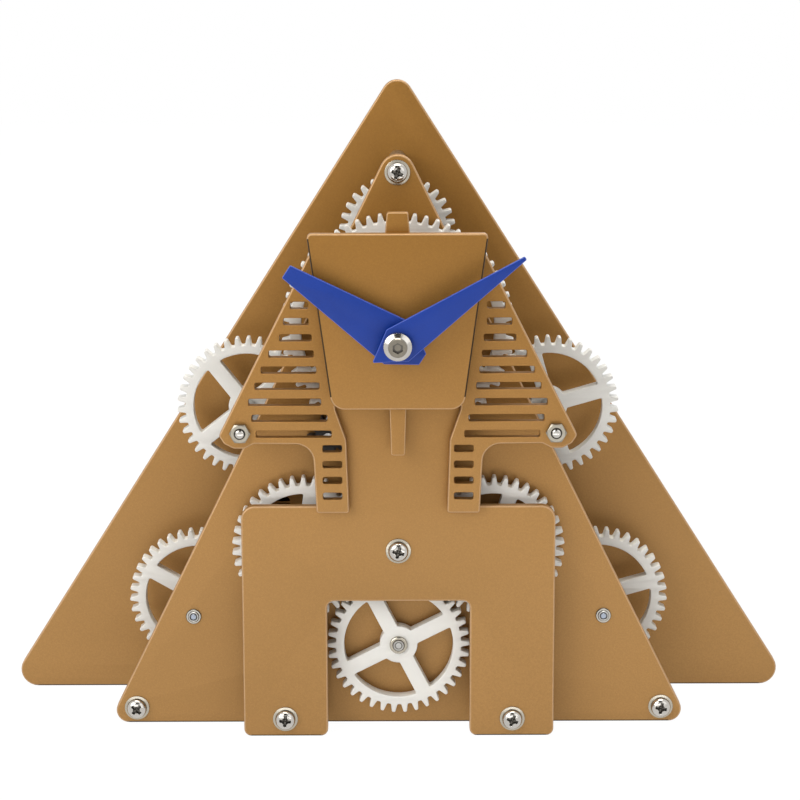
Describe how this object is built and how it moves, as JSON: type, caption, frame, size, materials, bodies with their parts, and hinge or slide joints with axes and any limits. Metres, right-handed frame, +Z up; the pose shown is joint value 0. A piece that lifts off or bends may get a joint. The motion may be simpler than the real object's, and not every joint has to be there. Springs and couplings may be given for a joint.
{
  "type": "gear clock",
  "caption": "Desk clock of layered pyramid and sphinx plates with an open train of white gears, blue hands and a battery box behind.",
  "frame": {"origin": "on the floor, under the middle of the whole clock", "axes": "+Z up, +X to the viewer's right along the width, -Y towards the viewer"},
  "size_m": [0.225, 0.0882, 0.1797],
  "materials": {
    "arbor_steel": "turned steel",
    "black_plastic": "matt black moulded plastic",
    "blue_hand": "satin blue paint",
    "brass": "turned brass",
    "bright_steel": "polished nickel-plated steel",
    "bush_metal": "turned, plated",
    "cell_sleeve": "printed sleeve on a metal can, left bare",
    "clear_white_plastic": "plain moulded plastic",
    "contact_metal": "nickel-plated spring sheet",
    "dark_gear": "matt black moulded plastic",
    "gold_plate": "satin gold-tan paint on a moulded plate",
    "white_gear": "satin white moulded plastic"
  },
  "bodies": {
    "frame": {"arbor_bushes": "bush_metal", "back_plate": "gold_plate", "battery_box": "black_plastic", "battery_box_screws": "bright_steel", "battery_cells": "cell_sleeve", "battery_contacts": "contact_metal", "body_plate": "gold_plate", "body_plate_screws": "bright_steel", "body_screw_nuts": "bright_steel", "body_standoffs": "arbor_steel", "bush_nut": "brass", "face_plate": "gold_plate", "gearmotor": "black_plastic", "gearmotor_screws": "bright_steel", "head_core": "gold_plate", "headdress_plate": "gold_plate", "hub_sleeve": "brass", "idler_post": "arbor_steel", "middle_plate": "gold_plate", "middle_plate_screws": "bright_steel", "movement_bush": "brass", "movement_case": "black_plastic", "movement_lid": "black_plastic", "rear_screws": "bright_steel", "rear_standoffs": "arbor_steel", "screw_washers": "bright_steel", "side_bolt_sleeves": "arbor_steel", "side_bolts": "bright_steel", "side_nuts": "bright_steel", "step_motor": "black_plastic"},
    "big_gear_body": {"big_gear": "white_gear"},
    "drive_body": {"drive_arbor": "arbor_steel", "drive_pinions": "dark_gear"},
    "left_side_body": {"left_side_gear": "white_gear"},
    "right_side_body": {"right_side_gear": "white_gear"},
    "left_mid_body": {"left_mid_arbor": "arbor_steel", "left_mid_gear": "white_gear", "left_transfer_gear": "white_gear"},
    "right_mid_body": {"right_mid_arbor": "arbor_steel", "right_mid_gear": "white_gear", "right_transfer_gear": "white_gear"},
    "left_low_body": {"left_low_arbor": "arbor_steel", "left_low_gear": "white_gear"},
    "right_low_body": {"right_low_arbor": "arbor_steel", "right_low_gear": "white_gear"},
    "bottom_body": {"bottom_arbor": "arbor_steel", "bottom_gear": "white_gear", "bottom_gear_collar": "bush_metal"},
    "top_body": {"top_arbor": "arbor_steel", "top_gear": "white_gear"},
    "idler_body": {"idler_gear": "white_gear"},
    "minute_body": {"minute_arbor": "brass", "minute_hand": "blue_hand", "hand_nut": "bright_steel"},
    "hour_body": {"hour_wheel": "clear_white_plastic", "hour_hand": "blue_hand"},
    "motion_body": {"motion_wheel": "clear_white_plastic"},
    "setting_body": {"setting_knob": "black_plastic"},
    "door_body": {"battery_door": "black_plastic"},
    "switch_body": {"battery_switch": "black_plastic"}
  },
  "joints": [
    {"name": "big_gear_spin", "type": "hinge", "parent": "frame", "child": "big_gear_body", "pos_m": [0, -0.01475, 0.11475], "axis": [0, 1, 0], "continuous": true},
    {"name": "drive_spin", "type": "hinge", "parent": "frame", "child": "drive_body", "pos_m": [-0.01935, 0.01025, 0.08439], "axis": [0, 1, 0], "continuous": true},
    {"name": "left_side_gear_spin", "type": "hinge", "parent": "frame", "child": "left_side_body", "pos_m": [-0.04307, 0.01025, 0.08805], "axis": [0, 1, 0], "continuous": true},
    {"name": "right_side_gear_spin", "type": "hinge", "parent": "frame", "child": "right_side_body", "pos_m": [0.04307, 0.01025, 0.08805], "axis": [0, 1, 0], "continuous": true},
    {"name": "left_mid_gear_spin", "type": "hinge", "parent": "frame", "child": "left_mid_body", "pos_m": [-0.02634, -0.01475, 0.05315], "axis": [0, 1, 0], "continuous": true},
    {"name": "right_mid_gear_spin", "type": "hinge", "parent": "frame", "child": "right_mid_body", "pos_m": [0.02634, -0.01475, 0.05315], "axis": [0, 1, 0], "continuous": true},
    {"name": "left_low_gear_spin", "type": "hinge", "parent": "frame", "child": "left_low_body", "pos_m": [-0.05795, 0.01025, 0.03151], "axis": [0, 1, 0], "continuous": true},
    {"name": "right_low_gear_spin", "type": "hinge", "parent": "frame", "child": "right_low_body", "pos_m": [0.05795, 0.01025, 0.03151], "axis": [0, 1, 0], "continuous": true},
    {"name": "bottom_gear_spin", "type": "hinge", "parent": "frame", "child": "bottom_body", "pos_m": [0, -0.01475, 0.0248], "axis": [0, 1, 0], "continuous": true},
    {"name": "top_gear_spin", "type": "hinge", "parent": "frame", "child": "top_body", "pos_m": [0, 0.01025, 0.13775], "axis": [0, 1, 0], "continuous": true},
    {"name": "idler_gear_spin", "type": "hinge", "parent": "frame", "child": "idler_body", "pos_m": [0.00702, 0.01025, 0.10295], "axis": [0, 1, 0], "continuous": true},
    {"name": "minute_hand_turn", "type": "hinge", "parent": "frame", "child": "minute_body", "pos_m": [0, -0.03895, 0.11475], "axis": [0, 1, 0], "continuous": true},
    {"name": "hour_hand_turn", "type": "hinge", "parent": "frame", "child": "hour_body", "pos_m": [0, -0.03595, 0.11475], "axis": [0, 1, 0], "continuous": true},
    {"name": "motion_wheel_turn", "type": "hinge", "parent": "frame", "child": "motion_body", "pos_m": [-0.00705, -0.00245, 0.10504], "axis": [0, 1, 0], "continuous": true},
    {"name": "setting_knob_turn", "type": "hinge", "parent": "frame", "child": "setting_body", "pos_m": [-0.01411, 0.02545, 0.11475], "axis": [0, 1, 0], "continuous": true},
    {"name": "battery_door_slide", "type": "slide", "parent": "frame", "child": "door_body", "axis": [1, 0, 0], "range_m": [0, 0.066]},
    {"name": "battery_switch_slide", "type": "slide", "parent": "frame", "child": "switch_body", "axis": [0, 0, 1], "range_m": [0, 0.003]}
  ],
  "couplings": [
    {"joint": "drive_spin", "follows": "big_gear_spin", "ratio": -6.2},
    {"joint": "left_side_gear_spin", "follows": "big_gear_spin", "ratio": 1.6316},
    {"joint": "right_side_gear_spin", "follows": "big_gear_spin", "ratio": 1.6316},
    {"joint": "left_mid_gear_spin", "follows": "big_gear_spin", "ratio": -1.6316},
    {"joint": "right_mid_gear_spin", "follows": "big_gear_spin", "ratio": -1.6316},
    {"joint": "left_low_gear_spin", "follows": "big_gear_spin", "ratio": 1.6316},
    {"joint": "right_low_gear_spin", "follows": "big_gear_spin", "ratio": 1.6316},
    {"joint": "bottom_gear_spin", "follows": "big_gear_spin", "ratio": 1.6316},
    {"joint": "idler_gear_spin", "follows": "big_gear_spin", "ratio": -1.55},
    {"joint": "top_gear_spin", "follows": "big_gear_spin", "ratio": 2},
    {"joint": "hour_hand_turn", "follows": "minute_hand_turn", "ratio": 0.083333},
    {"joint": "motion_wheel_turn", "follows": "minute_hand_turn", "ratio": -0.33333},
    {"joint": "setting_knob_turn", "follows": "minute_hand_turn", "ratio": 1}
  ]
}
